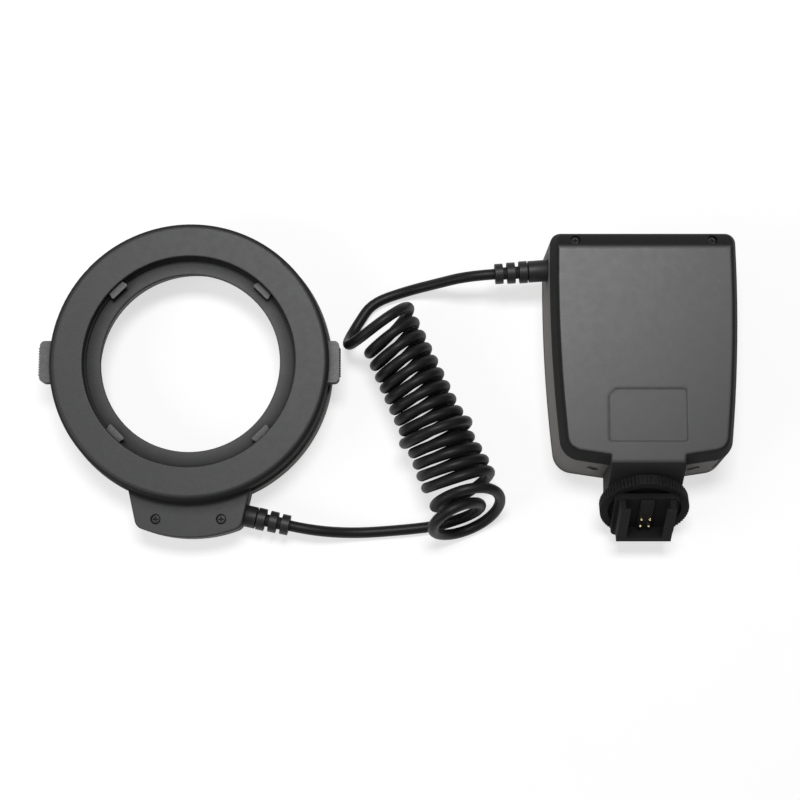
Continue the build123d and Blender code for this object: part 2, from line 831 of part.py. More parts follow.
def shell_face(height, inset):
    """Section of the front shell at a height, moved in by an inset."""
    share = height / front_shell_height
    half = front_half_width + (shell_half_width - front_half_width) * share - inset
    top = front_top + (shell_length - front_top) * share - inset
    low = front_low * (1 - share) + inset
    return unit_face(height, half, top, low, max(low_corner - inset, 2), max(top_corner - inset, 0.6))


def shell_blank(base, top, inset):
    """Solid between two sections of the front shell."""
    with BuildPart() as blank:
        loft([shell_face(base, inset), shell_face(top, inset)], ruled=True)
    return blank.part


def door_region(base, top, gap):
    """Everything that the battery door covers, in plan, with a gap all round."""
    reach = 1.5 * front_half_width
    with BuildPart() as region:
        with BuildSketch(unit_plane(base)):
            with BuildLine():
                Polyline(
                    (door_foot_x - gap, -reach), (door_foot_x - gap, door_foot_y + gap),
                    (door_low_x - gap, door_foot_y + gap), (door_high_x - gap, door_high_y + gap),
                    (reach, door_high_y + gap), (reach, -reach), close=True,
                )
            make_face()
        extrude(amount=top - base)
    return region.part


shell_outer = shell_blank(0, front_shell_height, 0)
shell_inner = shell_blank(panel_recess + panel_thickness, front_shell_height, shell_wall)
panel_inner = panel_recess + panel_thickness
frame_region = door_region(door_base - door_gap - door_frame, front_shell_height, door_gap + door_frame)
door_wall = shell_outer & frame_region
neck_plane = Plane(origin=(unit_x - neck_half_width, unit_y, 0), x_dir=(0, 1, 0), z_dir=(1, 0, 0))


def low_wall(x, height):
    """Height in plan of the lower wall's outer face."""
    share = height / front_shell_height
    return front_low * (1 - share) + tan(radians(low_slope)) * x


low_screw_start = low_wall(low_screw_x, low_screw_height)
keys_at = (
    ("key_up", 0, key_upper_y), ("key_left", -key_spacing, (key_upper_y + key_lower_y) / 2),
    ("key_set", 0, key_lower_y), ("key_right", key_spacing, (key_upper_y + key_lower_y) / 2),
    ("key_lamp", -2 * key_spacing + 6, key_lower_y - 1),
)
boss_places = (
    (board_left + boss_inset, board_low + boss_inset), (board_right - boss_inset, board_low + boss_inset),
    (board_left + boss_inset, board_high - boss_inset), (board_right - boss_inset, board_high - boss_inset),
)

with BuildPart() as front_shell:
    add(shell_outer)
    add(shell_inner, mode=Mode.SUBTRACT)
    add(door_wall)
    with BuildSketch(unit_plane(low_screw_height)):
        with Locations((low_screw_x, low_screw_depth / 2 + 2), (-low_screw_x, low_screw_depth / 2 + 2)):
            Rectangle(2 * low_screw_boss, low_screw_depth)
    extrude(amount=low_screw_boss, both=True)
    with BuildSketch(unit_plane(panel_inner)):
        with Locations(*boss_places):
            Circle(boss_radius)
    extrude(amount=board_height - panel_inner)
    extrude(shell_face(front_shell_height, parting_inset), amount=parting_gap)
    extrude(shell_face(front_shell_height, shell_wall), amount=parting_gap, mode=Mode.SUBTRACT)
    add(shell_blank(0, panel_recess, rim_width), mode=Mode.SUBTRACT)
    add(door_region(door_base - door_gap, shell_length, door_gap), mode=Mode.SUBTRACT)
    with BuildSketch(unit_plane(shoulder_screw_end)):
        with Locations((shoulder_screw_x, shoulder_screw_y), (-shoulder_screw_x, shoulder_screw_y)):
            Circle(screw_radius + 1.4)
    extrude(amount=front_shell_height + parting_gap - shoulder_screw_end)
    with BuildSketch(unit_plane(shoulder_screw_end)):
        with Locations((shoulder_screw_x, shoulder_screw_y), (-shoulder_screw_x, shoulder_screw_y)):
            Circle(screw_radius)
    extrude(amount=front_shell_height, mode=Mode.SUBTRACT)
    with BuildSketch(unit_plane(cell_height - bay_height / 2 + bay_mouth_step)):
        with Locations((bay_right, bay_low + bay_length / 2)):
            Rectangle(bay_mouth, bay_length - 2 * bay_mouth_step)
    extrude(amount=bay_height - 2 * bay_mouth_step, mode=Mode.SUBTRACT)
    with BuildSketch(unit_plane(0)):
        with Locations((0, lcd_centre)):
            Rectangle(lcd_width, lcd_length)
        for name, x, y in keys_at:
            with Locations((x, y)):
                Circle(key_radius + key_gap)
        with Locations((slider_x, slider_y)):
            Rectangle(slider_width + slider_travel + 2 * key_gap, slider_length + 2 * key_gap)
    extrude(amount=panel_inner, mode=Mode.SUBTRACT)
    with BuildSketch(unit_plane(neck_low - neck_gap)):
        Rectangle(2 * (neck_half_width + neck_gap), neck_slot)
    extrude(amount=front_shell_height, mode=Mode.SUBTRACT)
    for side in (-1, 1):
        with BuildSketch(Plane(origin=(unit_x + side * low_screw_x, unit_y, low_screw_height), x_dir=(1, 0, 0),
                               z_dir=(0, 1, 0))):
            Circle(screw_radius)
        extrude(amount=low_screw_start + low_screw_depth, mode=Mode.SUBTRACT)
        with BuildSketch(Plane(origin=(unit_x + side * low_screw_x, unit_y - 4, low_screw_height), x_dir=(1, 0, 0),
                               z_dir=(0, 1, 0))):
            Circle(screw_head_radius + screw_recess_gap)
        extrude(amount=low_screw_start + 4 + screw_head_height + 0.3, mode=Mode.SUBTRACT)
    with BuildSketch(unit_relief):
        Circle(relief_radius + 0.2)
    extrude(amount=3, mode=Mode.SUBTRACT)
    with BuildSketch(unit_relief):
        Circle(relief_plug_radius + fit_gap)
    extrude(amount=-lug_wall - relief_plug, mode=Mode.SUBTRACT)
front_shell.part.label = "front_shell"
export_step(front_shell.part, "parts/front_shell.step")

# Control unit: back shell with its raised panel and the neck that carries the wheel

end_wall = neck_face - neck_wall


def neck_line(face, height):
    """Place in the neck's side view where a plane square to the stem meets a height."""
    rise = height - wheel_height - face * foot_sin
    return -wheel_drop - face * foot_cos + rise * foot_sin / foot_cos


with BuildPart() as back_shell:
    loft(
        [
            unit_face(lid_base, shell_half_width, shell_length, 0, low_corner, top_corner),
            unit_face(
                lid_top, shell_half_width - lid_draft, shell_length - lid_draft, lid_low_draft,
                low_corner - lid_draft, top_corner - lid_draft / 2,
            ),
        ],
        ruled=True,
    )
    fillet(back_shell.faces().sort_by(Axis.Z)[-1].edges(), radius=lid_round)
    with BuildSketch(neck_plane.offset(neck_half_width)):
        with BuildLine():
            TangentArc((roll_start, lid_top), (shell_length, roll_base), tangent=(1, 0))
            Polyline(
                (shell_length, roll_base), (shell_length + roll_length, roll_base),
                (shell_length + roll_length, lid_top + roll_length), (roll_start, lid_top + roll_length),
                (roll_start, lid_top),
            )
        make_face()
    extrude(amount=shell_half_width, both=True, mode=Mode.SUBTRACT)
    with BuildSketch(neck_plane):
        with BuildLine():
            Polyline(
                (neck_root, lid_top), (neck_line(neck_face, lid_top), lid_top),
                (neck_line(neck_face, neck_low), neck_low), (neck_inside, neck_low),
                (neck_inside, lid_base), (neck_root, lid_base), close=True,
            )
        face = make_face()
        fillet(face.vertices().group_by(Axis.Y)[0].sort_by(Axis.X)[0], radius=neck_low_round)
    extrude(amount=2 * neck_half_width)
    edges = back_shell.edges().filter_by(Axis.X)
    nose = neck_line(neck_face, lid_top) + unit_y
    top_edge = edges.sort_by_distance((unit_x, nose, lid_top))[0]
    fillet(top_edge, radius=neck_round)
    hollow = unit_face(
        lid_base, shell_half_width - lid_wall, roll_start - screw_sink, lid_wall, lid_hollow_corner, top_corner
    )
    extrude(hollow, amount=lid_top - lid_base - lid_roof, mode=Mode.SUBTRACT)
    with BuildSketch(neck_plane.offset(neck_wall)):
        with BuildLine():
            Polyline(
                (neck_root, lid_top - lid_roof), (neck_line(end_wall, lid_top - lid_roof), lid_top - lid_roof),
                (neck_line(end_wall, neck_low + neck_wall), neck_low + neck_wall),
                (neck_inside + 1, neck_low + neck_wall), (neck_inside + 1, lid_base), (neck_root, lid_base), close=True,
            )
        make_face()
    extrude(amount=2 * (neck_half_width - neck_wall), mode=Mode.SUBTRACT)
    with BuildSketch(foot_plane.offset(neck_face + 1)):
        Circle(stem_radius + stem_gap)
    extrude(amount=-neck_wall - 2, mode=Mode.SUBTRACT)
    with BuildSketch(unit_plane(lid_top - label_depth)) as recess:
        half = label_width / 2
        high = label_low + label_length
        with BuildLine():
            Polyline(
                (-half, label_low), (half, label_low), (half, high), (label_cut - half, high),
                (-half, high - label_cut), close=True,
            )
        make_face()
        corners = recess.vertices().group_by(Axis.Y)[0] + recess.vertices().sort_by_distance((half, high, 0))[0:1]
        fillet(corners, radius=label_corner)
    extrude(amount=2 * label_depth, mode=Mode.SUBTRACT)
    with BuildSketch(unit_plane(lid_base)):
        with Locations((shoulder_screw_x, shoulder_screw_y), (-shoulder_screw_x, shoulder_screw_y)):
            Circle(screw_radius)
    extrude(amount=shoulder_seat - lid_base, mode=Mode.SUBTRACT)
    with BuildSketch(unit_plane(shoulder_seat)):
        with Locations((shoulder_screw_x, shoulder_screw_y), (-shoulder_screw_x, shoulder_screw_y)):
            Circle(screw_head_radius + screw_recess_gap)
    extrude(amount=lid_top - shoulder_seat, mode=Mode.SUBTRACT)
back_shell.part.label = "back_shell"
export_step(back_shell.part, "parts/back_shell.step")

# Control unit: the four housing screws

with BuildPart() as unit_screws:
    with BuildSketch(unit_plane(shoulder_screw_end + 0.2)):
        with Locations((shoulder_screw_x, shoulder_screw_y), (-shoulder_screw_x, shoulder_screw_y)):
            Circle(screw_radius - fit_gap)
    extrude(amount=shoulder_seat - shoulder_screw_end - 0.2)
    with BuildSketch(unit_plane(shoulder_seat)):
        with Locations((shoulder_screw_x, shoulder_screw_y), (-shoulder_screw_x, shoulder_screw_y)):
            Circle(screw_head_radius)
    extrude(amount=screw_head_height)
    for side in (-1, 1):
        seat = Plane(
            origin=(unit_x + side * low_screw_x, unit_y + low_screw_start + 0.3, low_screw_height),
            x_dir=(1, 0, 0), z_dir=(0, 1, 0),
        )
        with BuildSketch(seat):
            Circle(screw_head_radius)
        extrude(amount=screw_head_height)
        with BuildSketch(seat):
            Circle(screw_radius - fit_gap)
        extrude(amount=low_screw_depth - 0.5)
unit_screws.part.label = "unit_screws"
export_step(unit_screws.part, "parts/unit_screws.step")

# Control unit: display, board, switches, keys and power slider behind the front panel

with BuildPart() as display_window:
    with BuildSketch(unit_plane(panel_recess - lcd_window_thickness)):
        with Locations((0, lcd_centre)):
            RectangleRounded(lcd_width + 2 * lcd_border, lcd_length + 2 * lcd_border, 1.5)
    extrude(amount=lcd_window_thickness)
display_window.part.label = "display_window"
export_step(display_window.part, "parts/display_window.step")

with BuildPart() as display_module:
    with BuildSketch(unit_plane(panel_inner)):
        with Locations((0, lcd_centre)):
            Rectangle(lcd_width + 2, lcd_length + 4)
    extrude(amount=board_height - panel_inner)
display_module.part.label = "display_module"
export_step(display_module.part, "parts/display_module.step")

with BuildPart() as main_board:
    with BuildSketch(unit_plane(board_height)):
        with Locations(((board_left + board_right) / 2, (board_low + board_high) / 2)):
            Rectangle(board_right - board_left, board_high - board_low)
    extrude(amount=board_thickness)
main_board.part.label = "main_board"
export_step(main_board.part, "parts/main_board.step")

with BuildPart() as key_switches:
    with BuildSketch(unit_plane(switch_base)):
        for name, x, y in keys_at:
            with Locations((x, y)):
                Rectangle(switch_size, switch_size)
    extrude(amount=board_height - switch_base)
key_switches.part.label = "key_switches"
export_step(key_switches.part, "parts/key_switches.step")

for name, x, y in keys_at:
    with BuildPart() as key:
        with BuildSketch(unit_plane(key_base)):
            with Locations((x, y)):
                Circle(key_radius)
        extrude(amount=panel_inner - key_base)
        chamfer(key.faces().sort_by(Axis.Z)[0].edges(), length=0.4)
        with BuildSketch(unit_plane(panel_inner)):
            with Locations((x, y)):
                Circle(key_radius + key_flange)
        extrude(amount=key_flange_thickness)
        with BuildSketch(unit_plane(panel_inner + key_flange_thickness)):
            with Locations((x, y)):
                Circle(key_stem_radius)
        extrude(amount=key_stem_top - panel_inner - key_flange_thickness)
    key.part.label = name
    export_step(key.part, f"parts/{name}.step")

slider_start = slider_x - slider_travel / 2
with BuildPart() as power_slider:
    with BuildSketch(unit_plane(key_base)):
        with Locations((slider_start, slider_y)):
            Rectangle(slider_width, slider_length)
    extrude(amount=panel_inner - key_base)
    with BuildSketch(unit_plane(key_base)):
        with Locations((slider_start, slider_y)):
            with GridLocations(1.6, 0, 4, 1):
                Rectangle(0.6, slider_length)
    extrude(amount=0.4, mode=Mode.SUBTRACT)
    with BuildSketch(unit_plane(panel_inner)):
        with Locations((slider_start, slider_y)):
            Rectangle(slider_flange_width, slider_flange_length)
    extrude(amount=key_flange_thickness)
power_slider.part.label = "power_slider"
export_step(power_slider.part, "parts/power_slider.step")

# Control unit: battery bay, cells, contacts and sliding door

bay_left = cell_right - cell_length - contact_thickness - bay_wall
bay_base = cell_height - bay_height / 2


def cell_plane(x):
    return Plane(origin=(unit_x + x, unit_y, cell_height), x_dir=(0, 1, 0), z_dir=(1, 0, 0))


cell_places = [(cell_first + cell_pitch * count, 0) for count in range(cell_count)]
with BuildPart() as battery_tray:
    with BuildSketch(unit_plane(bay_base)):
        with Locations(((bay_left + bay_right) / 2, bay_low + bay_length / 2)):
            Rectangle(bay_right - bay_left, bay_length)
    extrude(amount=bay_height)
    with BuildSketch(cell_plane(bay_left + bay_wall)):
        with Locations(*cell_places):
            Circle(cell_radius + cell_gap)
    extrude(amount=cell_length + 5, mode=Mode.SUBTRACT)
battery_tray.part.label = "battery_tray"
export_step(battery_tray.part, "parts/battery_tray.step")

with BuildPart() as battery_cells:
    with BuildSketch(cell_plane(cell_right - cell_length)):
        with Locations(*cell_places):
            Circle(cell_radius)
    extrude(amount=cell_length - 1)
    with BuildSketch(cell_plane(cell_right - 1)):
        with Locations(*cell_places):
            Circle(2.7)
    extrude(amount=1)
battery_cells.part.label = "battery_cells"
export_step(battery_cells.part, "parts/battery_cells.step")

with BuildPart() as battery_contacts:
    with BuildSketch(cell_plane(cell_right - cell_length - contact_thickness)):
        with Locations(*cell_places):
            Circle(cell_radius - 2.5)
    extrude(amount=contact_thickness)
battery_contacts.part.label = "battery_contacts"
export_step(battery_contacts.part, "parts/battery_contacts.step")

door_lean = (door_high_x - door_low_x) / (door_high_y - door_foot_y)


def door_strip(depth, shrink):
    """Strips behind the door's inner face, one for each pair of cells."""
    with BuildPart() as strips:
        for pair in (0, 2):
            first = cell_first + cell_pitch * pair
            low = first - 5 + shrink
            high = first + cell_pitch + 5 - shrink
            with BuildSketch(unit_plane(cell_height - 4 + shrink)):
                with BuildLine():
                    low_x = door_low_x + (low - door_foot_y) * door_lean
                    high_x = door_low_x + (high - door_foot_y) * door_lean
                    Polyline((low_x, low), (low_x + depth, low), (high_x + depth, high), (high_x, high), close=True)
                make_face()
            extrude(amount=8 - 2 * shrink)
    return strips.part


with BuildPart() as battery_door:
    add(shell_outer)
    add(door_region(door_base, front_shell_height, 0), mode=Mode.INTERSECT)
    add(door_strip(0.6, 0), mode=Mode.SUBTRACT)
battery_door.part.label = "battery_door"
export_step(battery_door.part, "parts/battery_door.step")

door_contacts = door_strip(0.6, 0.1)
door_contacts.label = "door_contacts"
export_step(door_contacts, "parts/door_contacts.step")

# Foot: stem, lock wheel with its washer, shoe foot and spring contacts

with BuildPart() as foot_stem:
    with BuildSketch(foot_plane.offset(end_wall - stem_flange)):
        Circle(stem_flange_radius)
    extrude(amount=stem_flange)
    with BuildSketch(foot_plane.offset(end_wall - stem_flange)):
        Circle(stem_radius)
    extrude(amount=plate_start - end_wall + stem_flange)
    with BuildSketch(foot_plane.offset(end_wall - stem_flange)):
        Circle(stem_bore)
    extrude(amount=plate_start - end_wall + stem_flange, mode=Mode.SUBTRACT)
foot_stem.part.label = "foot_stem"
export_step(foot_stem.part, "parts/foot_stem.step")

with BuildPart() as wheel_washer:
    with BuildSketch(foot_plane.offset(-wheel_face - wheel_gap - washer_thickness)):
        Circle(washer_radius)
        Circle(stem_radius + stem_gap, mode=Mode.SUBTRACT)
    extrude(amount=washer_thickness)
wheel_washer.part.label = "wheel_washer"
export_step(wheel_washer.part, "parts/wheel_washer.step")

with BuildPart() as lock_wheel:
    with BuildSketch(foot_plane.offset(-wheel_face)):
        Circle(wheel_radius - tooth_depth)
        with PolarLocations(wheel_radius - tooth_depth, wheel_teeth):
            Rectangle(2 * tooth_depth, 0.9)
        with Locations((0, wheel_radius - 2)):
            Rectangle(wheel_pad_width, 4 - 0.7)
        Circle(stem_radius + stem_gap, mode=Mode.SUBTRACT)
    extrude(amount=wheel_thickness)
    with BuildSketch(foot_plane.offset(wheel_face - wheel_recess)):
        Circle(wheel_recess_radius)
        Circle(stem_radius + 2.2, mode=Mode.SUBTRACT)
    extrude(amount=wheel_recess, mode=Mode.SUBTRACT)
lock_wheel.part.label = "lock_wheel"
export_step(lock_wheel.part, "parts/lock_wheel.step")

foot_middle = (foot_high - foot_low) / 2
slot_half = foot_width / 2 - foot_wall
pin_places = [(side * pin_half_spacing, row) for row in (pin_upper, pin_lower) for side in (-1, 1)]
with BuildPart() as shoe_foot:
    with BuildSketch(foot_plane.offset(plate_start)):
        with Locations((0, (foot_plate_high - foot_plate_low) / 2)):
            RectangleRounded(foot_plate_width, foot_plate_high + foot_plate_low, foot_plate_corner)
    extrude(amount=foot_plate)
    with BuildSketch(foot_plane.offset(roof_start)):
        with Locations((0, foot_middle)):
            Rectangle(foot_width, foot_high + foot_low)
    extrude(amount=slot_height + lip_thickness)
    with BuildSketch(foot_plane.offset(roof_start)):
        with Locations((0, foot_wall / 2 + foot_middle)):
            Rectangle(2 * slot_half, foot_high + foot_low - foot_wall)
    extrude(amount=slot_height, mode=Mode.SUBTRACT)
    with BuildSketch(foot_plane.offset(roof_start + slot_height)):
        with Locations((0, foot_wall / 2 + foot_middle)):
            Rectangle(foot_width - 2 * lip_width, foot_high + foot_low - foot_wall)
    extrude(amount=lip_thickness, mode=Mode.SUBTRACT)
    with BuildSketch(foot_plane.offset(roof_start)):
        with Locations((0, foot_wall / 2 + foot_middle)):
            Rectangle(foot_rib_width, foot_high + foot_low - foot_wall)
    extrude(amount=foot_rib_height)
    with BuildSketch(foot_plane.offset(plate_start)):
        with Locations(*pin_places):
            Circle(pin_radius + pin_gap)
    extrude(amount=foot_plate + foot_rib_height, mode=Mode.SUBTRACT)
    with BuildSketch(foot_plane.offset(plate_start)):
        with Locations(*pin_places):
            Circle(pin_head_radius + pin_gap)
    extrude(amount=pin_travel + pin_head, mode=Mode.SUBTRACT)
shoe_foot.part.label = "shoe_foot"
export_step(shoe_foot.part, "parts/shoe_foot.step")

foot_axis = Axis(foot_plane.origin, foot_plane.z_dir)
for count, place in enumerate(pin_places):
    with BuildPart() as pin:
        with BuildSketch(foot_plane.offset(pin_seat)):
            with Locations(place):
                Circle(pin_head_radius)
        extrude(amount=pin_head)
        with BuildSketch(foot_plane.offset(pin_seat)):
            with Locations(place):
                Circle(pin_radius)
        extrude(amount=roof_start + pin_tip - pin_seat)
        chamfer(pin.faces().sort_by(foot_axis)[-1].edges(), length=0.25)
    pin.part.label = f"contact_pin_{count + 1}"
    export_step(pin.part, f"parts/contact_pin_{count + 1}.step")
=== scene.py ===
import json
import math
import bmesh
import bpy
from mathutils import Matrix, Vector


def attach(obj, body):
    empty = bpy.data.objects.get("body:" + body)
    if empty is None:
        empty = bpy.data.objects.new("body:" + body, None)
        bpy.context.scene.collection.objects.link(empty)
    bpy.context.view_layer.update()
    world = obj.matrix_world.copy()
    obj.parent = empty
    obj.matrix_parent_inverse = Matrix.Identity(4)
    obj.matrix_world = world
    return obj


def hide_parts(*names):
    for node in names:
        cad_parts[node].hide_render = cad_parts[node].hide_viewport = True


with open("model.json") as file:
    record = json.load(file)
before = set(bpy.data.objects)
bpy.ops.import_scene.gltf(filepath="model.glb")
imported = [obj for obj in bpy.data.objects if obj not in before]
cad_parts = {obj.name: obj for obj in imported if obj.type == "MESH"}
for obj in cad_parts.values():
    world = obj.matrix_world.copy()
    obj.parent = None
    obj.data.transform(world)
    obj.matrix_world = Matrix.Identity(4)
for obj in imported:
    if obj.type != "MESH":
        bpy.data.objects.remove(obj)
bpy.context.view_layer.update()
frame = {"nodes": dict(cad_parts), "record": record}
nodes = frame["nodes"]
scene = bpy.context.scene
mm = 0.001


# Camera

eye = bpy.data.objects.new("eye", bpy.data.cameras.new("eye"))
scene.collection.objects.link(eye)
eye.location = (0.0051, -0.1013, 0.740)
eye.rotation_euler = (math.radians(7.35), 0, 0)
eye.data.sensor_width = 36
eye.data.lens = 76.05
eye.data.clip_start = 0.01
eye.data.clip_end = 20
scene.camera = eye


# Node helpers

middle_range = (0.3, 0.7)


def new_material(name):
    made = bpy.data.materials.new(name)
    made.use_nodes = True
    tree = made.node_tree
    return made, tree, tree.nodes["Principled BSDF"]


def add_node(tree, kind, values=None, **settings):
    """Adds a node, sets its properties and the values of its inputs."""
    made = tree.nodes.new(kind)
    for key, value in settings.items():
        setattr(made, key, value)
    for key, value in (values or {}).items():
        made.inputs[key].default_value = value
    return made


def feed(tree, socket, value):
    """Links a node's output to a socket, or writes a plain value into it."""
    if isinstance(value, (int, float, tuple)):
        socket.default_value = value
    else:
        tree.links.new(value, socket)


def math_node(tree, operation, *values):
    made = add_node(tree, "ShaderNodeMath", operation=operation)
    for socket, value in zip(made.inputs, values):
        feed(tree, socket, value)
    return made.outputs[0]


def mix_colour(tree, share, first, second):
    made = add_node(tree, "ShaderNodeMix", data_type="RGBA")
    share_socket, first_socket, second_socket = made.inputs[0], made.inputs[6], made.inputs[7]
    feed(tree, share_socket, share)
    feed(tree, first_socket, first)
    feed(tree, second_socket, second)
    return made.outputs[2]


def noise(tree, where, scale, detail=2.0, rough=0.5):
    """Noise with its scale per metre."""
    made = add_node(tree, "ShaderNodeTexNoise", {"Scale": scale, "Detail": detail, "Roughness": rough})
    tree.links.new(where, made.inputs["Vector"])
    return made.outputs["Fac"]


def spread(tree, value, low, high, start=0.0, end=1.0):
    """Maps a value's range from start to end onto low to high."""
    made = add_node(
        tree, "ShaderNodeMapRange", {"From Min": start, "From Max": end, "To Min": low, "To Max": high}
    )
    tree.links.new(value, made.inputs["Value"])
    return made.outputs["Result"]


def grey(level, warm=0.0):
    return (level * (1 + warm), level, level * (1 - warm), 1.0)


def scaled(colour, factor):
    return tuple(part * factor for part in colour[:3]) + (1.0,)


def grain_normal(tree, shader, height, strength, depth, round_edge):
    """Bumps a surface by depth and rounds its sharp edges. Depth and edge radius in mm."""
    soft = add_node(tree, "ShaderNodeBevel", {"Radius": round_edge * mm}, samples=4)
    bump = add_node(tree, "ShaderNodeBump", {"Strength": strength, "Distance": depth * mm})
    tree.links.new(height, bump.inputs["Height"])
    tree.links.new(soft.outputs["Normal"], bump.inputs["Normal"])
    tree.links.new(bump.outputs["Normal"], shader.inputs["Normal"])


# Wear of moulded pieces, with painted shade in recesses and painted light and shade on walls

wear_reach = 0.5
wear_range = (0.80, 0.985)
wear_polish = 0.08
corner_dulling = 0.4
corner_range = (0.25, 0.95)


def edge_wear(tree, where):
    """One on rubbed sharp edges, from a rounded normal against the true one, with gaps."""
    soft = add_node(tree, "ShaderNodeBevel", {"Radius": wear_reach * mm}, samples=4)
    true = add_node(tree, "ShaderNodeNewGeometry")
    dot = add_node(tree, "ShaderNodeVectorMath", operation="DOT_PRODUCT")
    tree.links.new(soft.outputs["Normal"], dot.inputs[0])
    tree.links.new(true.outputs["Normal"], dot.inputs[1])
    sharp = spread(tree, dot.outputs["Value"], 1.0, 0.0, *wear_range)
    rubbed = spread(tree, noise(tree, where, 700.0), 0.35, 1.0, 0.35, 0.65)
    return math_node(tree, "MULTIPLY", sharp, rubbed)


def facing_up(tree, where_node, start, end):
    """Mask for the painted light and shade on walls: one on faces that look up in the piece's own frame,
    nought on walls and below.
    """
    parts = tree.nodes.new("ShaderNodeSeparateXYZ")
    tree.links.new(where_node.outputs["Normal"], parts.inputs[0])
    return spread(tree, parts.outputs["Z"], 0.0, 1.0, start, end)


def painted_corner_shade(tree, body, haze, reach, darkest):
    """Paints shade into a finish's colour in recesses and beside walls, darkest where ambient occlusion is
    strongest, and dulls it there. Reach in mm.
    """
    open_sky = add_node(tree, "ShaderNodeAmbientOcclusion", {"Distance": reach * mm}, samples=6)
    level = spread(tree, open_sky.outputs["AO"], darkest, 1.0, *corner_range)
    shaded = add_node(tree, "ShaderNodeVectorMath", operation="SCALE")
    tree.links.new(body, shaded.inputs[0])
    tree.links.new(level, shaded.inputs["Scale"])
    dulled = spread(tree, level, corner_dulling, 0.0, darkest, 1.0)
    return shaded.outputs[0], math_node(tree, "ADD", haze, dulled)


# Kinds of finish

def moulded(
    name, flat, worn, rough=0.5, grain=0.35, depth=0.02, mottle=0.04, coat=0.0, round_edge=0.25, gloss=0.4,
    painted_wall_shading=None, wall_rough=0.75, upright=(0.80, 0.97), corner_reach=7.0, painted_shade_darkest=0.12,
):
    """Moulded plastic: pebbled grain, polished worn edges, painted shade in recesses, and painted light and
    shade on walls.

    Grain, depth, round_edge and corner_reach are in mm. A darkest painted corner shade of one paints no
    shade in recesses.
    """
    made, tree, shader = new_material(name)
    where_node = add_node(tree, "ShaderNodeTexCoord")
    where = where_node.outputs["Object"]
    pebbles = noise(tree, where, 1000.0 / grain, 2.0, 0.6)
    speck = spread(tree, noise(tree, where, 420.0 / grain, 1.0), 0.0, 1.0, 0.32, 0.68)
    body = mix_colour(tree, speck, scaled(flat, 1 - 5 * mottle), scaled(flat, 1 + 5 * mottle))
    cloud = spread(tree, noise(tree, where, 55.0, 3.0), 0.0, mottle, *middle_range)
    body = mix_colour(tree, cloud, body, worn)
    haze = spread(tree, noise(tree, where, 320.0, 3.0), rough - 0.012, rough + 0.014, *middle_range)
    # Painted light and shade: walls and faces below take their own painted colour instead of the face
    # colour.
    if painted_wall_shading:
        level = facing_up(tree, where_node, *upright)
        body = mix_colour(tree, level, painted_wall_shading, body)
        haze = math_node(tree, "ADD", haze, spread(tree, level, wall_rough - rough, 0.0))
    edge = edge_wear(tree, where)
    haze = math_node(tree, "SUBTRACT", haze, math_node(tree, "MULTIPLY", edge, wear_polish))
    body = mix_colour(tree, edge, body, worn)
    # Painted shade: the colour darkens in recesses and beside walls, where shade falls.
    if painted_shade_darkest < 1:
        body, haze = painted_corner_shade(tree, body, haze, corner_reach, painted_shade_darkest)
    tree.links.new(body, shader.inputs["Base Color"])
    tree.links.new(haze, shader.inputs["Roughness"])
    grain_normal(tree, shader, pebbles, 0.6, depth, round_edge)
    shader.inputs["Coat Weight"].default_value = coat
    shader.inputs["Specular IOR Level"].default_value = gloss
    return made


def metal(name, colour, rough=0.3):
    """Bare or plated metal with fine working marks and slight tarnish."""
    made, tree, shader = new_material(name)
    where = add_node(tree, "ShaderNodeTexCoord").outputs["Object"]
    lines = noise(tree, where, 900.0, 3.0, 0.6)
    tarnish = spread(tree, noise(tree, where, 260.0, 3.0), 0.0, 0.6, 0.42, 0.75)
    tree.links.new(mix_colour(tree, tarnish, colour, scaled(colour, 0.72)), shader.inputs["Base Color"])
    tree.links.new(spread(tree, lines, rough - 0.07, rough + 0.1, *middle_range), shader.inputs["Roughness"])
    shader.inputs["Metallic"].default_value = 1.0
    grain_normal(tree, shader, lines, 0.5, 0.006, 0.12)
    return made


def clear(name, tint):
    """Clear moulded acrylic with a faint tint and hairline scratches."""
    made, tree, shader = new_material(name)
    where = add_node(tree, "ShaderNodeTexCoord").outputs["Object"]
    shader.inputs["Transmission Weight"].default_value = 1.0
    shader.inputs["IOR"].default_value = 1.49
    cloud = spread(tree, noise(tree, where, 60.0), 0.0, 1.0, *middle_range)
    tree.links.new(mix_colour(tree, cloud, tint, scaled(tint, 0.97)), shader.inputs["Base Color"])
    hair = spread(tree, noise(tree, where, 1500.0), 0.02, 0.07, 0.4, 0.7)
    tree.links.new(hair, shader.inputs["Roughness"])
    return made


# Materials of the record's slots

smooth = {"depth": 0.006, "grain": 0.8, "painted_shade_darkest": 1}
glassy = {"depth": 0.002, "mottle": 0.02, "painted_shade_darkest": 1}
# Walls painted a little darker than faces that look up: painted shade.
lock_wall_shade = {"painted_wall_shading": grey(0.003), "wall_rough": 0.8, "gloss": 0.3}
rubbery = {"grain": 0.3, "depth": 0.012}

